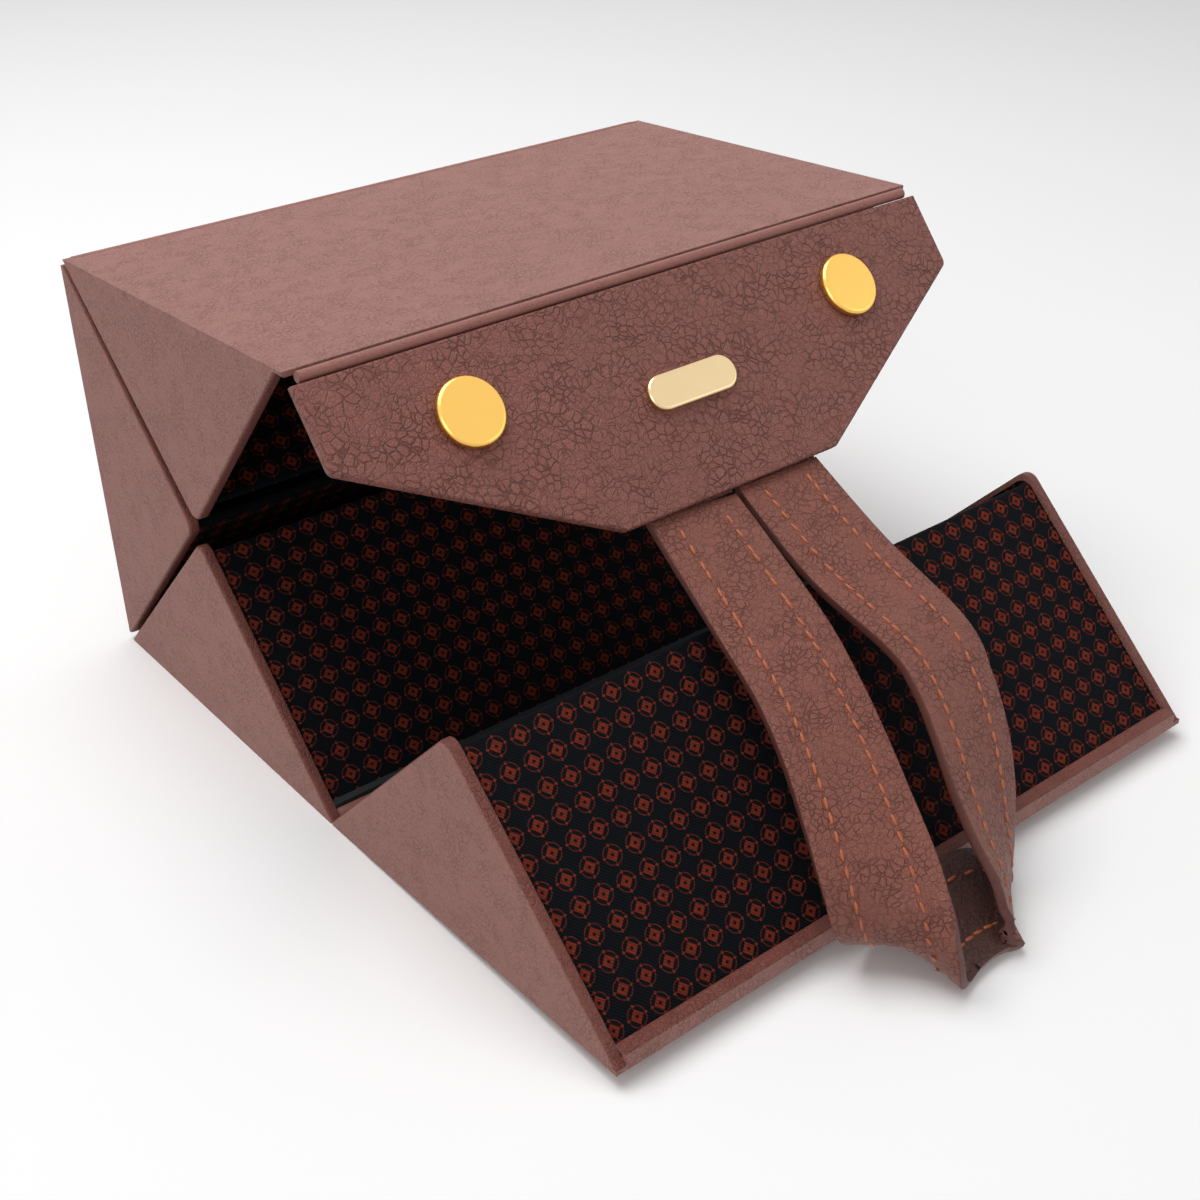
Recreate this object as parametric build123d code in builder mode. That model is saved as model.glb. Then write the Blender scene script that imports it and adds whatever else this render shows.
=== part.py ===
from build123d import *
from math import asin, atan2, cos, degrees, hypot, radians, sin, tan
import os

os.makedirs("parts", exist_ok=True)

# Folding glasses case: four three-sided troughs joined by leather hinges, a snap flap and a strap.
# X runs along the case, +Y to its back and +Z up. The origin is the middle of the bottom trough's base.

# Sizes of the folded box, from hinge line to hinge line
case_length = 170.0
fold_depth = 96.0
fold_height = 98.0
front_edge_room = 0.5

# How far the case stands open in its rest pose, in degrees
rear_lean = 1.5
top_raise = 3.5
flap_hang = 40.8

# Sheet materials
skin = 1.2
base_board = 1.8
end_board = 1.2
turned_edge = 1.2
lining_cloth = 0.6
floor_pad_cloth = 1.2
divider_thickness = 2.2

# Fits
hinge_clearance = 0.3
end_clearance = 0.25
side_gap = 0.6
divider_inset = 1.0
tongue = 0.6
tongue_reach = 8.0
end_rim = 3.0
hem_width = 3.3
hem_skin = 0.8

# Roundings
tip_radius = 3.0
edge_radius = 0.8
fold_radius = 0.9
pad_round = 0.5

# Flap
flap_skin = 1.0
flap_board_thickness = 0.8
flap_lining_thickness = 0.6
flap_length = 50.0
flap_shoulder = 19.5
flap_tip_width = 60.0
flap_closed_gap = 1.3
flap_turned_edge = 1.4
flap_corner_radius = 2.0
flap_edge_radius = 0.5
flap_lining_inset = 2.5

# Snap fasteners, one pair
snap_spacing = 105.0
snap_drop = 17.1
cap_diameter = 15.0
cap_height = 1.6
cap_crown = 1.0
cap_foot = 0.4
cap_foot_inset = 0.5
socket_flange_diameter = 11.0
socket_flange = 0.5
socket_barrel_diameter = 6.6
socket_bore_diameter = 5.4
stud_flange_diameter = 10.0
stud_flange = 0.5
stud_neck_diameter = 3.4
stud_head_diameter = 4.4
stud_height = 2.7
stud_head_height = 1.3
stud_head_round = 0.5
rivet_diameter = 3.0
rivet_flange_diameter = 9.0
rivet_flange = 0.5
snap_fit = 0.05
snap_seat = 0.4

# Plain plate in the middle of the flap
plate_length = 24.0
plate_width = 8.0
plate_thickness = 1.6
plate_round = 0.7
plate_drop = 26.2
plate_pin_diameter = 1.6
plate_pin_spacing = 14.0

# Strap, a leather loop sewn to the inside of the flap's lower edge
strap_width = 23.0
strap_thickness = 2.0
strap_tab_length = 14.0
strap_tab_thickness = 0.9
strap_tab_overhang = 0.5

# Middle of the strap along its way, from its left end to its right end: three distances from the line
# where it leaves the flap, then the turn and the tilt of its width, in degrees
strap_way = (
    (-11.4, 0.0, 0.0, 0, 0),
    (-14.5, -27.8, -14.2, -11, 4),
    (-16.8, -40.9, -21.2, -12, 0),
    (-20.0, -52.6, -28.6, -15, -1),
    (-23.2, -62.5, -36.1, -18, 4),
    (-25.5, -70.5, -43.5, -26, 13),
    (-26.3, -75.5, -50.5, -42, 17),
    (-24.7, -77.4, -56.7, -58, 4),
    (-20.0, -77.8, -61.2, -64, -15),
    (-15.3, -76.8, -60.8, -77, -19),
    (-10.6, -76.1, -60.8, -90, -19),
    (-5.9, -76.0, -60.8, -103, -19),
    (-1.2, -76.6, -60.8, -116, -19),
    (2.8, -77.7, -61.4, -129, -16),
    (3.6, -78.3, -60.9, -134, -10),
    (4.1, -78.9, -60.1, -138, -2),
    (4.5, -79.1, -59.0, -142, 5),
    (4.9, -77.1, -54.2, -150, 19),
    (5.8, -72.9, -47.9, -163, 21),
    (7.7, -67.5, -40.5, -175, 20),
    (10.2, -61.1, -32.8, -181, 17),
    (12.5, -53.5, -25.5, -183, 13),
    (13.9, -44.4, -19.4, -183, 5),
    (12.7, -22.3, -10.9, -179, -3),
    (13.1, 0.0, 0.0, -180, 0),
)

half_length = case_length / 2
panel = skin + base_board
axis_inset = panel / 2
hinge_radius = axis_inset
panel_start = hinge_radius + hinge_clearance
end_thickness = turned_edge + end_board
end_inner = half_length - end_thickness
lining_inner = end_inner - lining_cloth
flap_thickness = flap_skin + flap_board_thickness + flap_lining_thickness
flap_bead_radius = flap_thickness / 2
flap_start = flap_bead_radius + hinge_clearance
flap_overhang = axis_inset + flap_closed_gap + flap_bead_radius
stud_reach = fold_height + axis_inset - flap_bead_radius - snap_drop


def trough_plane(foot_y, foot_z, rise):
    """A trough's own plane: x from its divider's foot to its open side, y inwards from its outer face."""
    return Plane(
        origin=(0, foot_y + axis_inset * sin(radians(rise)), foot_z - axis_inset * cos(radians(rise))),
        x_dir=(0, cos(radians(rise)), sin(radians(rise))),
        z_dir=(1, 0, 0),
    )


# Hinge lines at rest, and the lift that the snap studs give the open front trough
stud_edge = stud_reach - stud_head_diameter / 2
stud_angle = atan2(axis_inset + stud_height, stud_edge)
front_raise = degrees(stud_angle - asin(axis_inset / hypot(stud_edge, axis_inset + stud_height)))
front_axis = (-fold_depth / 2, axis_inset)
rear_axis = (fold_depth / 2, axis_inset)
top_axis = (
    rear_axis[0] + fold_height * sin(radians(rear_lean)),
    rear_axis[1] + fold_height * cos(radians(rear_lean)),
)
front_foot = (
    front_axis[0] - fold_height * cos(radians(front_raise)),
    front_axis[1] + fold_height * sin(radians(front_raise)),
)

bottom_plane = trough_plane(front_axis[0], front_axis[1], 0)
rear_plane = trough_plane(rear_axis[0], rear_axis[1], 90 - rear_lean)
top_plane = trough_plane(top_axis[0], top_axis[1], 180 - top_raise)
front_plane = trough_plane(front_foot[0], front_foot[1], -front_raise)

flap_axis = top_plane.from_local_coords(Vector(fold_depth + flap_overhang, flap_bead_radius, 0))
flap_plane = Plane(
    origin=(0, flap_axis.Y, flap_axis.Z),
    x_dir=(1, 0, 0),
    z_dir=(0, -cos(radians(flap_hang)), sin(radians(flap_hang))),
)
stud_plane = Plane(
    origin=front_plane.from_local_coords(Vector(0, 0, 0)),
    x_dir=(1, 0, 0),
    z_dir=-front_plane.y_dir,
)
outwards = Axis((0, 0, 0), flap_plane.z_dir)
stud_outwards = Axis((0, 0, 0), stud_plane.z_dir)

stud_line = stud_reach - fold_height
stud_places = [(-snap_spacing / 2, stud_line), (snap_spacing / 2, stud_line)]
snap_places = [(-snap_spacing / 2, -snap_drop), (snap_spacing / 2, -snap_drop)]
pin_places = [(-plate_pin_spacing / 2, -plate_drop), (plate_pin_spacing / 2, -plate_drop)]


def write(part, name):
    """Label one finished piece and write it under its own name."""
    part.label = name
    export_step(part, f"parts/{name}.step")


def edges_at(part, plane, points):
    """The edges along the case that pass through points of a trough's own plane."""
    places = [plane.from_local_coords(Vector(x, y, 0)) for x, y in points]
    return part.edges().filter_by(Axis.X).filter_by(
        lambda e: any(hypot(e.center().Y - p.Y, e.center().Z - p.Z) < 0.01 for p in places)
    )


def end_outline(width, centre_height, start, inset=0.0):
    """A trough's end wall: its base, and the sloping sides that its neighbours close against."""
    slope = atan2(centre_height, width / 2)
    shift = (side_gap + inset) / sin(slope)
    tip = (width / 2, axis_inset + centre_height - (side_gap + inset) / cos(slope))
    foot = shift + (inset - axis_inset) / tan(slope)
    near = start + inset
    far = end_clearance + inset
    if foot < near:
        left = [(near, axis_inset + (near - shift) * tan(slope)), (near, inset)]
    else:
        left = [(foot, inset)]
    if foot < far:
        right = [(width - far, inset), (width - far, axis_inset + (far - shift) * tan(slope))]
    else:
        right = [(width - foot, inset)]
    return [*left, *right, tip]


def divider_outline(width, centre_height):
    """The sloping wall: it stands on the base board and runs up behind the ends' edge."""
    slope = atan2(centre_height, width / 2)
    near = side_gap + divider_inset
    far = near + divider_thickness
    run = hypot(width / 2, centre_height) - near - tip_radius / 2
    along = (cos(slope), sin(slope))
    across = (sin(slope), -cos(slope))
    foot = (panel - axis_inset) / tan(slope)
    return [
        (near / sin(slope) + foot, panel),
        (run * along[0] + near * across[0], axis_inset + run * along[1] + near * across[1]),
        (run * along[0] + far * across[0], axis_inset + run * along[1] + far * across[1]),
        (far / sin(slope) + foot, panel),
    ]


def lining_outline(width, centre_height, start):
    """The cloth on the inside of an end: above the board, and just behind the turned leather edge."""
    outline = end_outline(width, centre_height, start, turned_edge)
    slope = atan2(centre_height, width / 2)
    shift = (side_gap + turned_edge) / sin(slope) + (panel - axis_inset) / tan(slope)
    return [(shift, panel), (width - shift, panel), max(outline, key=lambda p: p[1])]


def make_trough(name, plane, width, centre_height, cover_end, board_end, tongues, hem):
    """One three-sided trough, open on the side away from its divider, as its separate pieces."""
    start = front_edge_room if hem else end_clearance
    cover_start = start if hem else panel_start
    board_start = start + skin if hem else panel_start
    outline = end_outline(width, centre_height, start)
    pocket = end_outline(width, centre_height, start, end_rim)
    tip = max(outline, key=lambda p: p[1])
    with BuildPart() as cover:
        with BuildSketch(plane.offset(-half_length)):
            with Locations(((cover_start + cover_end) / 2, skin / 2)):
                Rectangle(cover_end - cover_start, skin)
        extrude(amount=case_length)
        if hem:
            with BuildSketch(plane.offset(-end_inner)):
                with Locations((start + skin / 2, (panel + hem_skin) / 2)):
                    Rectangle(skin, panel + hem_skin)
                with Locations((start + hem_width / 2, panel + hem_skin / 2)):
                    Rectangle(hem_width, hem_skin)
            extrude(amount=2 * end_inner)
            with BuildSketch(stud_plane):
                with Locations(*stud_places):
                    Circle(rivet_diameter / 2)
            extrude(amount=-skin, mode=Mode.SUBTRACT)
        for low in (-half_length, end_inner):
            with BuildSketch(plane.offset(low)):
                with BuildLine():
                    Polyline(*outline, close=True)
                make_face()
            extrude(amount=end_thickness)
        fillet(edges_at(cover.part, plane, [tip]), tip_radius)
        for low in (-end_inner - end_board, end_inner):
            with BuildSketch(plane.offset(low)):
                with BuildLine():
                    Polyline(*pocket, close=True)
                make_face()
            extrude(amount=end_board, mode=Mode.SUBTRACT)
        for side in (0, -1):
            rim = cover.faces().sort_by(Axis.X)[side].edges().filter_by(lambda e: e.length > tip_radius)
            fillet(rim.filter_by(lambda e: plane.to_local_coords(e.center()).Y > skin), edge_radius)
    write(cover.part, f"{name}_cover")

    with BuildPart() as base:
        with BuildSketch(plane.offset(-end_inner)):
            with Locations(((board_start + board_end) / 2, skin + base_board / 2)):
                Rectangle(board_end - board_start, base_board)
            for edge, inward in tongues:
                with Locations((edge + inward * tongue_reach / 2, skin + tongue / 2)):
                    Rectangle(tongue_reach, tongue, mode=Mode.SUBTRACT)
        extrude(amount=2 * end_inner)
        if hem:
            with BuildSketch(stud_plane.offset(-skin)):
                with Locations(*stud_places):
                    Circle(rivet_diameter / 2)
            extrude(amount=-base_board, mode=Mode.SUBTRACT)
            with BuildSketch(stud_plane.offset(-panel)):
                with Locations(*stud_places):
                    Circle(rivet_flange_diameter / 2)
            extrude(amount=rivet_flange, mode=Mode.SUBTRACT)
    write(base.part, f"{name}_board")

    for side, low in (("left", -end_inner - end_board), ("right", end_inner)):
        with BuildPart() as stiffener:
            with BuildSketch(plane.offset(low)):
                with BuildLine():
                    Polyline(*pocket, close=True)
                make_face()
            extrude(amount=end_board)
        write(stiffener.part, f"{name}_{side}_end_board")

    cloth = lining_outline(width, centre_height, start)
    with BuildPart() as linings:
        for low in (-end_inner, lining_inner):
            with BuildSketch(plane.offset(low)):
                with BuildLine():
                    Polyline(*cloth, close=True)
                make_face()
            extrude(amount=lining_cloth)
        fillet(edges_at(linings.part, plane, [cloth[2]]), tip_radius)
    write(linings.part, f"{name}_end_linings")

    wall = divider_outline(width, centre_height)
    with BuildPart() as divider:
        with BuildSketch(plane.offset(-lining_inner)):
            with BuildLine():
                Polyline(*wall, close=True)
            make_face()
        extrude(amount=2 * lining_inner)
        fillet(edges_at(divider.part, plane, wall[1:3]), fold_radius)
    write(divider.part, f"{name}_divider")

    slope = atan2(centre_height, width / 2)
    pad_start = wall[3][0] + floor_pad_cloth / tan(slope) + hinge_clearance
    pad_end = width - (side_gap + turned_edge) / sin(slope) - (panel + floor_pad_cloth - axis_inset) / tan(slope)
    pad_stop = min(pad_end, board_end)
    pad_top = panel + floor_pad_cloth
    with BuildPart() as pad:
        with BuildSketch(plane.offset(-lining_inner)):
            with Locations(((pad_start + pad_stop) / 2, panel + floor_pad_cloth / 2)):
                Rectangle(pad_stop - pad_start, floor_pad_cloth)
        extrude(amount=2 * lining_inner)
        fillet(edges_at(pad.part, plane, [(pad_start, pad_top), (pad_stop, pad_top)]), pad_round)
    write(pad.part, f"{name}_floor_pad")


bottom_end = fold_depth - panel_start
rear_end = fold_height - panel_start
top_leather_end = fold_depth + flap_overhang - flap_start
top_board_end = fold_depth - panel_start - front_edge_room - hem_skin
make_trough("bottom", bottom_plane, fold_depth, fold_height / 2, bottom_end, bottom_end,
            ((panel_start, 1), (bottom_end, -1)), False)
make_trough("rear", rear_plane, fold_height, fold_depth / 2, rear_end, rear_end, ((rear_end, -1),), False)
make_trough("top", top_plane, fold_depth, fold_height / 2, top_leather_end, top_board_end, (), False)
make_trough("front", front_plane, fold_height, fold_depth / 2, rear_end, rear_end, (), True)

# Leather hinge beads along the fold lines, with the tongues that are glued under the boards
tongue_end = panel_start + tongue_reach
for name, plane, line, reach in (
    ("front_hinge_strip", bottom_plane, 0, tongue_end),
    ("rear_hinge_strip", bottom_plane, fold_depth, -tongue_end),
    ("top_hinge_strip", rear_plane, fold_height, -tongue_end),
):
    with BuildPart() as strip:
        with BuildSketch(plane.offset(-end_inner)):
            with Locations((line, axis_inset)):
                Circle(hinge_radius)
            with Locations((line + reach / 2, skin + tongue / 2)):
                Rectangle(tongue_end, tongue)
        extrude(amount=2 * end_inner)
    write(strip.part, name)

with BuildPart() as flap_hinge_strip:
    with BuildSketch(top_plane.offset(-end_inner)):
        with Locations((fold_depth + flap_overhang, flap_bead_radius)):
            Circle(flap_bead_radius)
    extrude(amount=2 * end_inner)
write(flap_hinge_strip.part, "flap_hinge_strip")

# The flap: outer leather turned round a thin board, with a leather lining behind
flap_outline = [
    (-half_length, -flap_start),
    (half_length, -flap_start),
    (half_length, -flap_shoulder),
    (flap_tip_width / 2, -flap_length),
    (-flap_tip_width / 2, -flap_length),
    (-half_length, -flap_shoulder),
]
flap_top = flap_bead_radius
flap_under = -flap_bead_radius
board_low = flap_under + flap_lining_thickness

with BuildPart() as flap_cuts:
    with BuildSketch(flap_plane.offset(flap_under)):
        with Locations(*snap_places):
            Circle(socket_barrel_diameter / 2 + snap_fit)
        with Locations(*pin_places):
            Circle(plate_pin_diameter / 2)
    extrude(amount=flap_thickness)

with BuildPart() as flap_leather:
    with BuildSketch(flap_plane.offset(board_low)):
        with BuildLine():
            Polyline(*flap_outline, close=True)
        make_face()
    extrude(amount=flap_top - board_low)
    corners = flap_leather.edges().filter_by(outwards)
    fillet(corners.sort_by(Axis((0, 0, 0), flap_plane.y_dir))[:4], flap_corner_radius)
    fillet(flap_leather.faces().sort_by(outwards)[-1].edges(), flap_edge_radius)
    with BuildSketch(flap_plane.offset(board_low)):
        with BuildLine():
            Polyline(*flap_outline, close=True)
        make_face()
        offset(amount=-flap_turned_edge, kind=Kind.INTERSECTION)
    extrude(amount=flap_board_thickness, mode=Mode.SUBTRACT)
    add(flap_cuts.part, mode=Mode.SUBTRACT)
write(flap_leather.part, "flap_leather")

with BuildPart() as flap_board:
    with BuildSketch(flap_plane.offset(board_low)):
        with BuildLine():
            Polyline(*flap_outline, close=True)
        make_face()
        offset(amount=-flap_turned_edge, kind=Kind.INTERSECTION)
    extrude(amount=flap_board_thickness)
    add(flap_cuts.part, mode=Mode.SUBTRACT)
write(flap_board.part, "flap_board")

with BuildPart() as flap_lining:
    with BuildSketch(flap_plane.offset(flap_under)):
        with BuildLine():
            Polyline(*flap_outline, close=True)
        make_face()
        offset(amount=-flap_lining_inset, kind=Kind.INTERSECTION)
    extrude(amount=flap_lining_thickness)
    add(flap_cuts.part, mode=Mode.SUBTRACT)
write(flap_lining.part, "flap_lining")

# Snap fasteners: cap and socket in the flap, stud and rivet through the front trough
with BuildPart() as snap_caps:
    with BuildSketch(flap_plane.offset(flap_top)):
        with Locations(*snap_places):
            Circle(cap_diameter / 2 - cap_foot_inset)
    extrude(amount=cap_foot)
    with BuildSketch(flap_plane.offset(flap_top + cap_foot)):
        with Locations(*snap_places):
            Circle(cap_diameter / 2)
    extrude(amount=cap_height)
    fillet(snap_caps.faces().group_by(outwards)[-1].edges(), cap_crown)
    with BuildSketch(flap_plane.offset(flap_top - snap_seat)):
        with Locations(*snap_places):
            Circle(socket_barrel_diameter / 2)
    extrude(amount=snap_seat)
write(snap_caps.part, "snap_caps")

with BuildPart() as snap_sockets:
    with BuildSketch(flap_plane.offset(flap_under - socket_flange)):
        with Locations(*snap_places):
            Circle(socket_flange_diameter / 2)
    extrude(amount=socket_flange)
    with BuildSketch(flap_plane.offset(flap_under)):
        with Locations(*snap_places):
            Circle(socket_barrel_diameter / 2)
    extrude(amount=flap_thickness - snap_seat)
    with BuildSketch(flap_plane.offset(flap_under - socket_flange)):
        with Locations(*snap_places):
            Circle(socket_bore_diameter / 2)
    extrude(amount=flap_thickness + socket_flange - snap_seat, mode=Mode.SUBTRACT)
write(snap_sockets.part, "snap_sockets")

with BuildPart() as snap_studs:
    with BuildSketch(stud_plane):
        with Locations(*stud_places):
            Circle(stud_flange_diameter / 2)
    extrude(amount=stud_flange)
    with BuildSketch(stud_plane):
        with Locations(*stud_places):
            Circle(stud_neck_diameter / 2)
    extrude(amount=stud_height - stud_head_height)
    with BuildSketch(stud_plane.offset(stud_height - stud_head_height)):
        with Locations(*stud_places):
            Circle(stud_head_diameter / 2)
    extrude(amount=stud_head_height)
    fillet(snap_studs.edges().filter_by(GeomType.CIRCLE).group_by(stud_outwards)[-1], stud_head_round)
write(snap_studs.part, "snap_studs")

with BuildPart() as snap_rivets:
    with BuildSketch(stud_plane.offset(-panel)):
        with Locations(*stud_places):
            Circle(rivet_diameter / 2)
    extrude(amount=panel)
    with BuildSketch(stud_plane.offset(-panel)):
        with Locations(*stud_places):
            Circle(rivet_flange_diameter / 2)
    extrude(amount=rivet_flange)
write(snap_rivets.part, "snap_rivets")

# Plain plate on two pins, in the middle of the flap
with BuildPart() as flap_plate:
    with BuildSketch(flap_plane.offset(flap_top)):
        with Locations((0, -plate_drop)):
            SlotOverall(plate_length, plate_width)
    extrude(amount=plate_thickness)
    fillet(flap_plate.faces().sort_by(outwards)[-1].edges(), plate_round)
    with BuildSketch(flap_plane.offset(board_low)):
        with Locations(*pin_places):
            Circle(plate_pin_diameter / 2)
    extrude(amount=flap_top - board_low)
write(flap_plate.part, "flap_plate")

# Strap: its two ends are pared thin and sewn to the flap's lining, and the rest hangs free in one loop
strap_line = -flap_length - strap_tab_overhang
strap_middle = flap_under - strap_tab_thickness / 2
strap_ends = (strap_way[0][0], strap_way[-1][0])
with BuildPart() as strap_tabs:
    with BuildSketch(flap_plane.offset(flap_under - strap_tab_thickness)):
        with Locations(*[(x, strap_line + strap_tab_length / 2) for x in strap_ends]):
            Rectangle(strap_width, strap_tab_length)
    extrude(amount=strap_tab_thickness)
write(strap_tabs.part, "strap_tabs")

leave = flap_plane.from_local_coords(Vector(0, strap_line, strap_middle))
middles = [leave + Vector(x, y, z) for x, y, z, turn, tilt in strap_way]
with BuildPart() as strap:
    for count, (x, y, z, turn, tilt) in enumerate(strap_way):
        across = Vector(
            cos(radians(turn)) * cos(radians(tilt)),
            sin(radians(turn)) * cos(radians(tilt)),
            sin(radians(tilt)),
        )
        if count == 0:
            along = -flap_plane.y_dir
        elif count == len(strap_way) - 1:
            along = flap_plane.y_dir
        else:
            along = middles[count + 1] - middles[count - 1]
            along = along - across * along.dot(across)
        with BuildSketch(Plane(origin=middles[count], x_dir=across, z_dir=along)):
            Rectangle(strap_width, strap_thickness)
    loft(ruled=True)
write(strap.part, "strap")
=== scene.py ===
from math import cos, pi, radians, sin

import bmesh
import bpy
from mathutils import Matrix, Vector


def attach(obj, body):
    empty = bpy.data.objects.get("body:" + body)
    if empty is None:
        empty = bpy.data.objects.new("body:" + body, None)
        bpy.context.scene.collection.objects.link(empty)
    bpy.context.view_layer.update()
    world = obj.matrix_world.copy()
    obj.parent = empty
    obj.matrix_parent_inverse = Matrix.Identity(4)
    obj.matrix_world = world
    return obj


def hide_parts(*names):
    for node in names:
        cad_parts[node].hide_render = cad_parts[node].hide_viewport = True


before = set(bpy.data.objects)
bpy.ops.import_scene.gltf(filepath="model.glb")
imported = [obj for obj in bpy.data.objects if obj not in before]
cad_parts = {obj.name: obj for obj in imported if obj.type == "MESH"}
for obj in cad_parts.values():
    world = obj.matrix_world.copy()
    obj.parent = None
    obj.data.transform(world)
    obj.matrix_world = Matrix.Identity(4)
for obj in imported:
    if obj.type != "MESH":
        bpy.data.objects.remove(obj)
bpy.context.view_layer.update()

# Camera: a short telephoto, left of the case and above it.
# It looks down on the open front, the flap and the left end.
eye = Vector((-0.22268, -0.31158, 0.23713))
turn_to_case, look_down, lean = radians(-39.0), radians(31.69), radians(-0.32)
camera_data = bpy.data.cameras.new("camera")
camera_data.sensor_width = 36
camera_data.lens = 51.19
camera_data.clip_start = 0.01
camera = bpy.data.objects.new("camera", camera_data)
camera.matrix_world = (
    Matrix.Translation(eye)
    @ Matrix.Rotation(turn_to_case, 4, "Z")
    @ Matrix.Rotation(pi / 2 - look_down, 4, "X")
    @ Matrix.Rotation(lean, 4, "Z")
)
bpy.context.scene.collection.objects.link(camera)
bpy.context.scene.camera = camera
bpy.context.scene.view_settings.view_transform = "Standard"


# Studio: a white table top and white surroundings, with one large soft lamp over the case,
# a weaker one at the left front, and one low at the right. The table keeps the soft shadow.
def linear(code):
    """An sRGB hex colour as linear red, green, blue and alpha."""
    parts = [int(code[i : i + 2], 16) / 255 for i in (1, 3, 5)]
    return (*[c / 12.92 if c <= 0.04045 else ((c + 0.055) / 1.055) ** 2.4 for c in parts], 1.0)


def node(tree, kind, settings=None, links=None):
    """Add one shader node, with its properties and its inputs, by value or by link."""
    made = tree.nodes.new(kind)
    for key, value in (settings or {}).items():
        setattr(made, key, value)
    for key, value in (links or {}).items():
        if isinstance(value, bpy.types.NodeSocket):
            tree.links.new(value, made.inputs[key])
        else:
            made.inputs[key].default_value = value
    return made


def maths(tree, operation, *values):
    """The result of one mathematics node."""
    return node(tree, "ShaderNodeMath", {"operation": operation}, dict(enumerate(values))).outputs[0]


def noise(tree, vector, scale, detail, **more):
    """A noise texture over the given coordinates."""
    return node(
        tree, "ShaderNodeTexNoise", None, {"Vector": vector, "Scale": scale, "Detail": detail, **more}
    ).outputs["Fac"]


def colours(tree, share, first, second):
    """Two colours mixed by a share, each a hex code or another node's colour."""
    first, second = (linear(tint) if isinstance(tint, str) else tint for tint in (first, second))
    links = {"Factor": share, "A": first, "B": second}
    return node(tree, "ShaderNodeMix", {"data_type": "RGBA"}, links).outputs["Result"]


def spread(tree, value, limits, results=(0.0, 1.0), smooth=True):
    """A value carried from one range to another, with soft ends if it is smooth."""
    return node(
        tree,
        "ShaderNodeMapRange",
        {"interpolation_type": "SMOOTHSTEP" if smooth else "LINEAR"},
        {
            "Value": value,
            "From Min": limits[0],
            "From Max": limits[1],
            "To Min": results[0],
            "To Max": results[1],
        },
    ).outputs[0]


def new_material(name):
    """An empty node material, its tree and the coordinates of the object that wears it."""
    made = bpy.data.materials.new(name)
    made.use_nodes = True
    made.node_tree.nodes.clear()
    return made, made.node_tree, node(made.node_tree, "ShaderNodeTexCoord")


def surface(tree, **inputs):
    """End a material with one physical surface."""
    skin = node(tree, "ShaderNodeBsdfPrincipled", None, inputs)
    node(tree, "ShaderNodeOutputMaterial", None, {"Surface": skin.outputs[0]})


def new_object(name, shape, materials):
    """Turn a bmesh into a mesh object that stays at the origin, and free the bmesh."""
    mesh = bpy.data.meshes.new(name)
    shape.to_mesh(mesh)
    shape.free()
    for material in materials:
        mesh.materials.append(material)
    made = bpy.data.objects.new(name, mesh)
    bpy.context.scene.collection.objects.link(made)
    return made


paper, tree, place = new_material("seamless paper, matt white, glowing in reflections")
path = node(tree, "ShaderNodeLightPath").outputs
# To glossy and transmission rays the table glows as a flat white sheet. This is a painted reflection of
# the table, not lit by the lamps.
reflection_ray = maths(tree, "MAXIMUM", path["Is Glossy Ray"], path["Is Transmission Ray"])
matt = node(tree, "ShaderNodeBsdfDiffuse", None, {"Color": linear("#FAFAFA")})
painted_reflection_glow = node(tree, "ShaderNodeEmission", None, {"Color": linear("#F6F6F6"), "Strength": 0.9})
mixed = node(tree, "ShaderNodeMixShader", None, {0: reflection_ray, 1: matt.outputs[0], 2: painted_reflection_glow.outputs[0]})
node(tree, "ShaderNodeOutputMaterial", None, {"Surface": mixed.outputs[0]})
shape = bmesh.new()
bmesh.ops.create_grid(shape, x_segments=1, y_segments=1, size=3.0)
table = new_object("table_top", shape, [paper])

world = bpy.data.worlds.new("white surroundings")
world.use_nodes = True
bpy.context.scene.world = world
tree = world.node_tree
tree.nodes.clear()
path = node(tree, "ShaderNodeLightPath").outputs
seen = maths(tree, "MAXIMUM", path["Is Camera Ray"], path["Is Glossy Ray"])
dim = node(tree, "ShaderNodeBackground", None, {"Color": linear("#FFFFFF"), "Strength": 0.34})
white = node(tree, "ShaderNodeBackground", None, {"Color": linear("#FFFFFF"), "Strength": 1.0})
mixed = node(tree, "ShaderNodeMixShader", None, {0: seen, 1: dim.outputs[0], 2: white.outputs[0]})
node(tree, "ShaderNodeOutputWorld", None, {"Surface": mixed.outputs[0]})

for name, spot, aim, size, power in (
    ("overhead lamp", (-0.15, 0.25, 1.1), (0, 0, 0.05), 0.9, 10.0),
    ("front lamp", (-1.0, -0.75, 0.65), (0, -0.02, 0.05), 0.7, 3.4),
    ("right lamp", (0.9, -0.9, 0.5), (0, -0.05, 0.05), 0.6, 0.7),
):
    lamp_data = bpy.data.lights.new(name, "AREA")
    lamp_data.size = size
    lamp_data.energy = power
    lamp = bpy.data.objects.new(name, lamp_data)
    lamp.location = spot
    lamp.rotation_euler = (Vector(aim) - Vector(spot)).to_track_quat("-Z", "Y").to_euler()
    bpy.context.scene.collection.objects.link(lamp)
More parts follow.
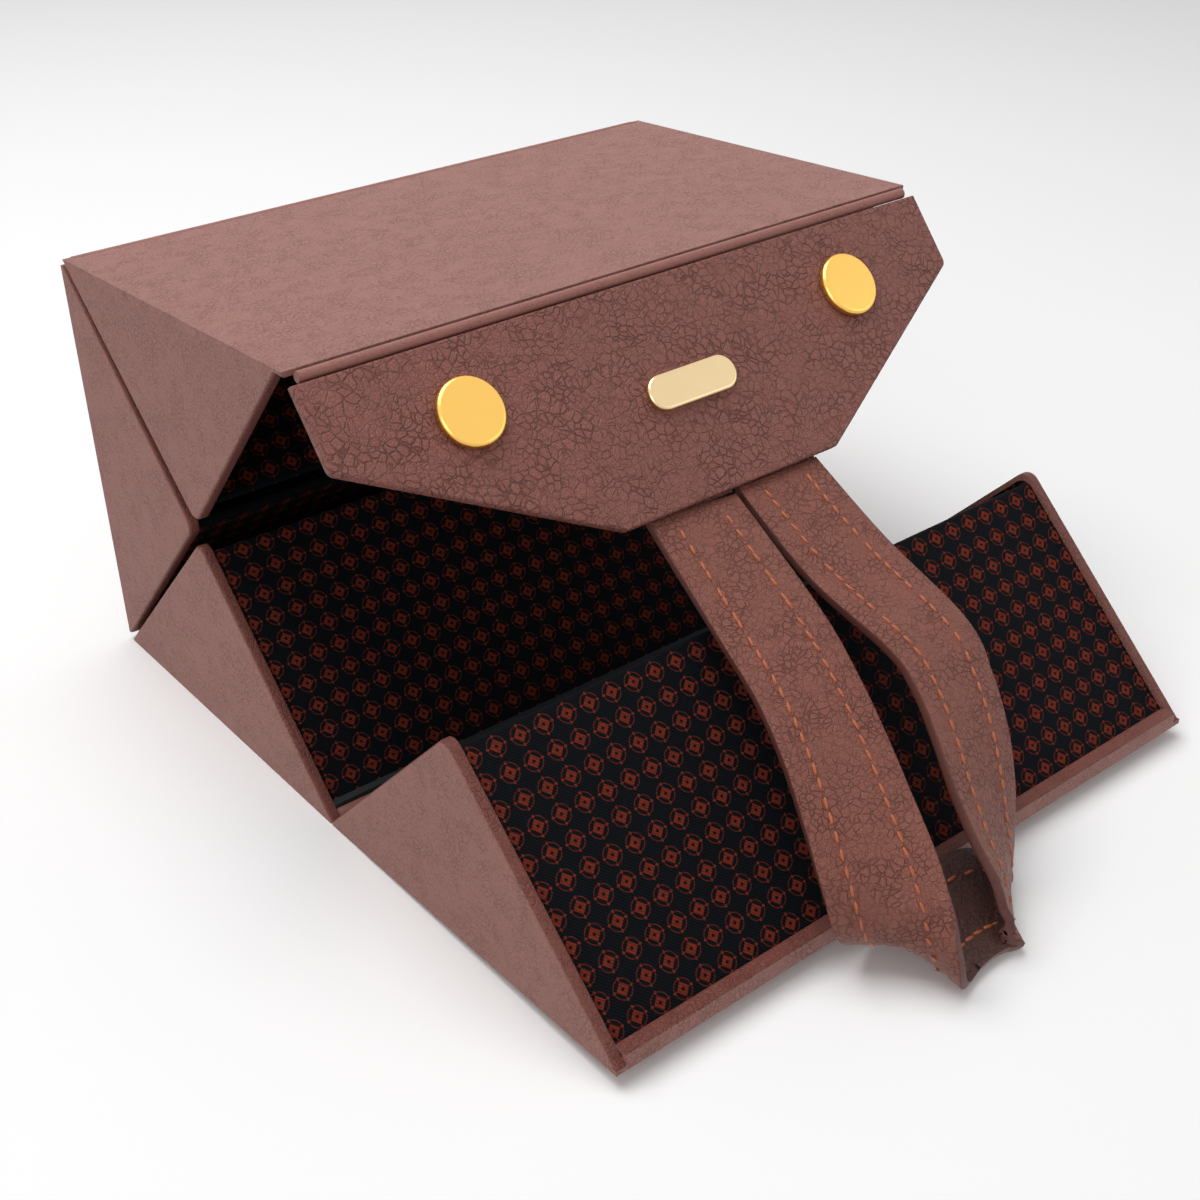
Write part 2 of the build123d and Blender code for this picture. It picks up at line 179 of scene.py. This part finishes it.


# Leather covers of the four troughs: split cowhide, embossed with a pebble grain, glued over board
# and turned in at every edge. The turned edges are smoother than the faces; where they face into the
# trough they are painted darker, as painted shade of the trough's inside.
def leather(name, face, crease, cell, depth, rough=0.5, turned=None):
    """Embossed leather. Cell is the grain's width and depth its relief, both in millimetres.
    Turned is the painted shade colour for the faces that turn into the trough, and the direction that
    they face."""
    made, tree, place = new_material(name)
    spot = place.outputs["Object"]
    warp = node(tree, "ShaderNodeTexNoise", None, {"Vector": spot, "Scale": 300 / cell, "Detail": 3.0})
    shift = node(
        tree,
        "ShaderNodeVectorMath",
        {"operation": "SUBTRACT"},
        {0: warp.outputs["Color"], 1: (0.5, 0.5, 0.5)},
    )
    moved = node(
        tree,
        "ShaderNodeVectorMath",
        {"operation": "MULTIPLY_ADD"},
        {0: shift.outputs[0], 1: (0.0024 * cell,) * 3, 2: spot},
    )
    grooves = []
    for cells_per_metre, groove in ((1000 / cell, 0.14), (2600 / cell, 0.16)):
        pebbles = node(
            tree,
            "ShaderNodeTexVoronoi",
            {"feature": "DISTANCE_TO_EDGE"},
            {"Vector": moved.outputs[0], "Scale": cells_per_metre, "Randomness": 1.0},
        )
        grooves.append(spread(tree, pebbles.outputs["Distance"], (0.0, groove)))
    broad = noise(tree, spot, 220 / cell, 3.0, Roughness=0.7)
    uneven = spread(tree, broad, (0.35, 0.65), (0.3, 1.0))
    sunk = maths(tree, "MULTIPLY", maths(tree, "SUBTRACT", 1.0, grooves[0]), uneven)
    fine_sunk = maths(tree, "MULTIPLY_ADD", grooves[1], -0.3, 0.3)
    relief = maths(tree, "ADD", sunk, fine_sunk)
    height = maths(tree, "SUBTRACT", 1.0, relief)
    drift = spread(tree, noise(tree, spot, 28.0, 2.0), (0.3, 0.7), (0.97, 1.03), smooth=False)
    shade = node(
        tree,
        "ShaderNodeHueSaturation",
        None,
        {"Color": colours(tree, relief, face, crease), "Value": drift},
    )
    tint = shade.outputs["Color"]
    # Painted shade: faces that point into the trough are darkened towards the turned colour.
    if turned:
        edge, inward = turned
        into_trough_shade = node(
            tree,
            "ShaderNodeVectorMath",
            {"operation": "DOT_PRODUCT"},
            {0: place.outputs["Normal"], 1: inward},
        )
        tint = colours(tree, spread(tree, into_trough_shade.outputs["Value"], (0.25, 0.6)), tint, edge)
    rounded = node(tree, "ShaderNodeBevel", {"samples": 6}, {"Radius": 0.0007})
    bump = node(
        tree,
        "ShaderNodeBump",
        None,
        {"Strength": 1.0, "Distance": depth / 1000, "Height": height, "Normal": rounded.outputs[0]},
    )
    gloss = spread(tree, relief, (0.0, 1.0), (rough, rough + 0.2), smooth=False)
    surface(tree, **{"Base Color": tint, "Roughness": gloss, "Normal": bump.outputs[0], "IOR": 1.5})
    return made


def finish_node(name, material):
    """Give one CAD node its finish."""
    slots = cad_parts[name].data.materials
    slots.clear()
    slots.append(material)


# Rise of each trough's base from the table, in degrees, and the slope of its inner wall over that base.
rises = {"bottom": 0.0, "rear": 88.5, "top": 176.5, "front": -1.957}
slopes = {"bottom": 45.59, "rear": 44.41, "top": 45.59, "front": 44.41}
for name, rise in rises.items():
    inward = (0.0, -sin(radians(rise)), cos(radians(rise)))
    # The turned colour #6A3328 is painted shade, laid on the cover's faces that turn into the trough.
    cowhide = leather(
        f"cowhide, pebble grain, {name}", "#936056", "#86564D", 1.2, 0.17, turned=("#6A3328", inward)
    )
    finish_node(f"{name}_cover", cowhide)

# Hinge beads: the same hide, folded round a cord and glued under the boards. The folds are smoother.
fold_hide = leather("cowhide, folded smooth", "#8E5B51", "#845249", 1.0, 0.03)
for name in ("front_hinge_strip", "rear_hinge_strip", "top_hinge_strip", "flap_hinge_strip"):
    finish_node(name, fold_hide)

# Flap: the same hide with a coarser, deeper grain, turned round a thin board and lined with plain hide.
# The lining is matt and a little darker.
flap_hide = leather("cowhide, coarse pebble grain", "#854E44", "#633229", 1.9, 0.3)
finish_node("flap_leather", flap_hide)
lining_hide = leather("lining hide, matt", "#5E352C", "#4E2A23", 1.0, 0.04, rough=0.65)
finish_node("flap_lining", lining_hide)

# Stiffening boards inside the covers and the flap: pressed grey paperboard, cut square. Those of the
# bases show their edges beside the hinges; they are painted near black, as painted shade of the dark
# hinge gaps.
board_finishes = []
for name, grain, darker, lighter in (
    ("greyboard, pressed paper pulp", (1500.0, 3.0), "#85807A", "#A39E95"),
    ("base board black, painted shade", (2200.0, 1.0), "#0C0F12", "#1A1E22"),
):
    made, tree, place = new_material(name)
    specks = noise(tree, place.outputs["Object"], *grain)
    surface(tree, **{"Base Color": colours(tree, specks, darker, lighter), "Roughness": 0.85})
    board_finishes.append(made)
greyboard, black_painted_shade = board_finishes
for name in rises:
    # The bases' boards take the painted shade black, so their edges sink into the dark hinge gaps.
    finish_node(f"{name}_board", black_painted_shade)
    finish_node(f"{name}_left_end_board", greyboard)
    finish_node(f"{name}_right_end_board", greyboard)
finish_node("flap_board", greyboard)


# Cloth linings, dividers and floor pads: a fine cotton twill, printed with small rust diamonds and dots
# on blue-black, glued over board. The blue-black is painted near black, as painted shade of the dark
# troughs. The twill's ribs are 0.85 mm apart, drawn twice as coarse as real.
def printed_twill(name, along, up):
    """Printed twill. The print lies square to the two directions."""
    print_pitch = 5.6
    diamond_reach, diamond_hole = 1.5, 0.45
    ring_radius, ring_half_width, ring_gap = 2.0, 0.12, 0.5
    dot_reach = 0.42
    rib_pitch = 0.85
    made, tree, place = new_material(name)
    spot = place.outputs["Object"]
    axes = []
    for way in (along, up):
        run = node(tree, "ShaderNodeVectorMath", {"operation": "DOT_PRODUCT"}, {0: spot, 1: way})
        axes.append(maths(tree, "MULTIPLY", run.outputs["Value"], 1000.0))
    cells = [maths(tree, "WRAP", axis, print_pitch, 0.0) for axis in axes]
    offsets = [maths(tree, "ABSOLUTE", maths(tree, "SUBTRACT", cell, print_pitch / 2)) for cell in cells]
    nearer, farther = maths(tree, "MINIMUM", *offsets), maths(tree, "MAXIMUM", *offsets)
    reach = maths(tree, "ADD", *offsets)
    diamond = maths(
        tree,
        "MULTIPLY",
        maths(tree, "LESS_THAN", reach, diamond_reach),
        maths(tree, "GREATER_THAN", reach, diamond_hole),
    )
    squares = [maths(tree, "POWER", offset, 2.0) for offset in offsets]
    radius = maths(tree, "SQRT", maths(tree, "ADD", *squares))
    ring = maths(
        tree,
        "MULTIPLY",
        maths(tree, "COMPARE", radius, ring_radius, ring_half_width),
        maths(tree, "GREATER_THAN", nearer, ring_gap),
    )
    past_ring = maths(tree, "ABSOLUTE", maths(tree, "SUBTRACT", farther, ring_radius))
    dots = maths(tree, "LESS_THAN", maths(tree, "ADD", nearer, past_ring), dot_reach)
    solid = maths(tree, "MAXIMUM", diamond, dots)
    motif = maths(tree, "MAXIMUM", solid, maths(tree, "MULTIPLY", ring, 0.6))
    ribs = maths(tree, "SINE", maths(tree, "MULTIPLY", maths(tree, "ADD", *axes), 2 * pi / rib_pitch))
    threads = maths(tree, "MULTIPLY_ADD", ribs, 0.5, 0.5)
    blotch = noise(tree, spot, 900.0, 2.0)
    ink = maths(tree, "MULTIPLY", motif, maths(tree, "MULTIPLY_ADD", threads, 0.35, 0.65))
    ink = maths(tree, "MULTIPLY", ink, maths(tree, "MULTIPLY_ADD", blotch, 0.8, 0.45))
    # The ground is painted near black, darker than the blue-black cloth itself, as painted shade of the
    # troughs' dark insides; the ribs make it lighter and darker in fine stripes.
    ground_with_painted_shade = colours(tree, threads, "#030406", "#0C1015")
    links = {"Strength": 0.7, "Distance": 0.00008, "Height": threads}
    surface(
        tree,
        **{
            "Base Color": colours(tree, ink, ground_with_painted_shade, "#7C2E1D"),
            "Roughness": 0.85,
            "Specular IOR Level": 0.08,
            "Normal": node(tree, "ShaderNodeBump", None, links).outputs[0],
        },
    )
    return made


for name, rise in rises.items():
    base_up = (0.0, cos(radians(rise)), sin(radians(rise)))
    base_in = (0.0, -sin(radians(rise)), cos(radians(rise)))
    wall = radians(rise + slopes[name])
    wall_up = (0.0, cos(wall), sin(wall))
    finish_node(f"{name}_floor_pad", printed_twill(f"printed twill, {name} floor", (1, 0, 0), base_up))
    finish_node(f"{name}_end_linings", printed_twill(f"printed twill, {name} ends", base_up, base_in))
    finish_node(f"{name}_divider", printed_twill(f"printed twill, {name} wall", (1, 0, 0), wall_up))

# Snap fasteners and plate: brass, stamped, polished and plated pale gold.
# Handling leaves faint scratches and a soft, uneven gloss.
gold, tree, place = new_material("gold-plated brass, polished")
spot = place.outputs["Object"]
stretched = node(tree, "ShaderNodeMapping", None, {"Vector": spot, "Scale": (300, 4000, 4000)})
scratches = noise(tree, stretched.outputs[0], 1.0, 3.0)
smudges = noise(tree, spot, 260.0, 2.0)
worn = maths(tree, "MULTIPLY_ADD", scratches, 0.12, 0.1)
gloss = maths(tree, "MULTIPLY_ADD", smudges, 0.16, worn)
dents = node(tree, "ShaderNodeBump", None, {"Strength": 0.25, "Distance": 0.00004, "Height": smudges})
surface(
    tree,
    **{"Base Color": linear("#FAC869"), "Metallic": 1.0, "Roughness": gloss, "Normal": dents.outputs[0]},
)
for name in ("snap_caps", "snap_sockets", "snap_studs", "snap_rivets"):
    finish_node(name, gold)
pale, tree, place = new_material("pale gold plating, polished")
smudges = noise(tree, place.outputs["Object"], 300.0, 2.0)
gloss = maths(tree, "MULTIPLY_ADD", smudges, 0.12, 0.14)
surface(tree, **{"Base Color": linear("#E8CDA0"), "Metallic": 1.0, "Roughness": gloss})
finish_node("flap_plate", pale)

# Strap: two layers of supple hide, 23 mm wide, sewn together along two rows with waxed orange-brown
# thread. It is made as a flat ribbon, laid along its way, and given its thickness and soft edges.
# Its way is the middle of its width: three distances from the line where it leaves the flap, in
# millimetres, then the turn and the tilt of its width, in degrees.
strap_way = (
    (-11.4, 0.0, 0.0, 0, 0),
    (-14.5, -27.8, -14.2, -11, 4),
    (-16.8, -40.9, -21.2, -12, 0),
    (-20.0, -52.6, -28.6, -15, -1),
    (-23.2, -62.5, -36.1, -18, 4),
    (-25.5, -70.5, -43.5, -26, 13),
    (-26.3, -75.5, -50.5, -42, 17),
    (-24.7, -77.4, -56.7, -58, 4),
    (-20.0, -77.8, -61.2, -64, -15),
    (-15.3, -76.8, -60.8, -77, -19),
    (-10.6, -76.1, -60.8, -90, -19),
    (-5.9, -76.0, -60.8, -103, -19),
    (-1.2, -76.6, -60.8, -116, -19),
    (2.8, -77.7, -61.4, -129, -16),
    (3.6, -78.3, -60.9, -134, -10),
    (4.1, -78.9, -60.1, -138, -2),
    (4.5, -79.1, -59.0, -142, 5),
    (4.9, -77.1, -54.2, -150, 19),
    (5.8, -72.9, -47.9, -163, 21),
    (7.7, -67.5, -40.5, -175, 20),
    (10.2, -61.1, -32.8, -181, 17),
    (12.5, -53.5, -25.5, -183, 13),
    (13.9, -44.4, -19.4, -183, 5),
    (12.7, -22.3, -10.9, -179, -3),
    (13.1, 0.0, 0.0, -180, 0),
)
strap_leave = Vector((0.0, -80.979, 66.564))
strap_width = 23.0
strap_thickness = 1.9
strap_segments = (240, 12)


def strap_at(share):
    """The strap's middle, in millimetres, and the direction of its width, at a share of its way."""
    last = len(strap_way) - 1
    count = min(int(share * last), last - 1)
    part = share * last - count
    around = [strap_way[min(max(count + k, 0), last)] for k in (-1, 0, 1, 2)]
    x, y, z, swing, lift = [
        here
        + 0.5 * part * (there - before)
        + part**2 * (before - 2.5 * here + 2 * there - 0.5 * after)
        + part**3 * (1.5 * (here - there) + 0.5 * (after - before))
        for before, here, there, after in zip(*around)
    ]
    swing, lift = radians(swing), radians(lift)
    across = Vector((cos(swing) * cos(lift), sin(swing) * cos(lift), sin(lift)))
    return strap_leave + Vector((x, y, z)), across


def strap_frame(share):
    """The strap's middle and its three directions: along, across and out of its outer face."""
    step = 0.004
    middle, across = strap_at(share)
    along = (strap_at(min(share + step, 1.0))[0] - strap_at(max(share - step, 0.0))[0]).normalized()
    out = along.cross(across).normalized()
    return middle, along, out.cross(along), out


strap_hide = leather("strap hide, creased", "#7E4638", "#613226", 1.5, 0.22)
strap_inside = leather("strap hide, inner face", "#4A261E", "#351B15", 1.3, 0.18)
strap_edge = leather("strap edge, dyed and burnished", "#5E3027", "#4E2820", 0.8, 0.03)
shape = bmesh.new()
bmesh.ops.create_grid(shape, x_segments=strap_segments[0], y_segments=strap_segments[1], size=0.5)
for vert in shape.verts:
    middle, along, across, out = strap_frame(vert.co.x + 0.5)
    vert.co = (middle + across * vert.co.y * strap_width) / 1000
strap = new_object("strap_loop", shape, [strap_hide, strap_inside, strap_edge])
strap.data.shade_smooth()
thickness = strap.modifiers.new("two layers", "SOLIDIFY")
thickness.thickness = strap_thickness / 1000
thickness.offset = 0
thickness.material_offset = 1
thickness.material_offset_rim = 2
edges = strap.modifiers.new("soft edges", "BEVEL")
edges.width = 0.0006
edges.segments = 3
edges.limit_method = "ANGLE"
edges.angle_limit = radians(50)
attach(strap, "strap_loop")
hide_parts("strap")
finish_node("strap_tabs", strap_hide)

# Stitches of the strap: waxed thread, in two rows on both faces of the strap.
# Each stitch is a short round bead that dips into the hide at both ends, a little aslant.
stitch_pitch = 3.4
row_offset = 6.0
stitch_lean = 0.12
stitch_half_sizes = (0.00145, 0.00042, 0.00036)
thread, tree, place = new_material("waxed polyester thread")
twist = noise(tree, place.outputs["Object"], 2500.0, 1.0)
surface(tree, **{"Base Color": colours(tree, twist, "#8A3F22", "#BC6A40"), "Roughness": 0.45})
steps = 400
samples = [strap_at(k / steps)[0] for k in range(steps + 1)]
lengths = [0.0]
for first, second in zip(samples, samples[1:]):
    lengths.append(lengths[-1] + (second - first).length)
stitch_count = round(lengths[-1] / stitch_pitch)
shape = bmesh.new()
for count in range(1, stitch_count - 1):
    wanted = (count + 0.5) / stitch_count * lengths[-1]
    step = next(k for k, run in enumerate(lengths) if run >= wanted)
    middle, along, across, out = strap_frame(step / steps)
    for row in (-1, 1):
        for side in (-1, 1):
            centre = middle + across * row * row_offset + out * side * (strap_thickness / 2)
            ahead = (along + across * row * stitch_lean).normalized()
            turned = Matrix((ahead, out.cross(ahead), out)).transposed().to_4x4()
            size = Matrix.Diagonal((*stitch_half_sizes, 1))
            bead = Matrix.Translation(centre / 1000) @ turned @ size
            bmesh.ops.create_uvsphere(shape, u_segments=8, v_segments=4, radius=1.0, matrix=bead)
bmesh.ops.recalc_face_normals(shape, faces=shape.faces)
stitches = new_object("strap_stitches", shape, [thread])
stitches.data.shade_smooth()
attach(stitches, "strap_loop")
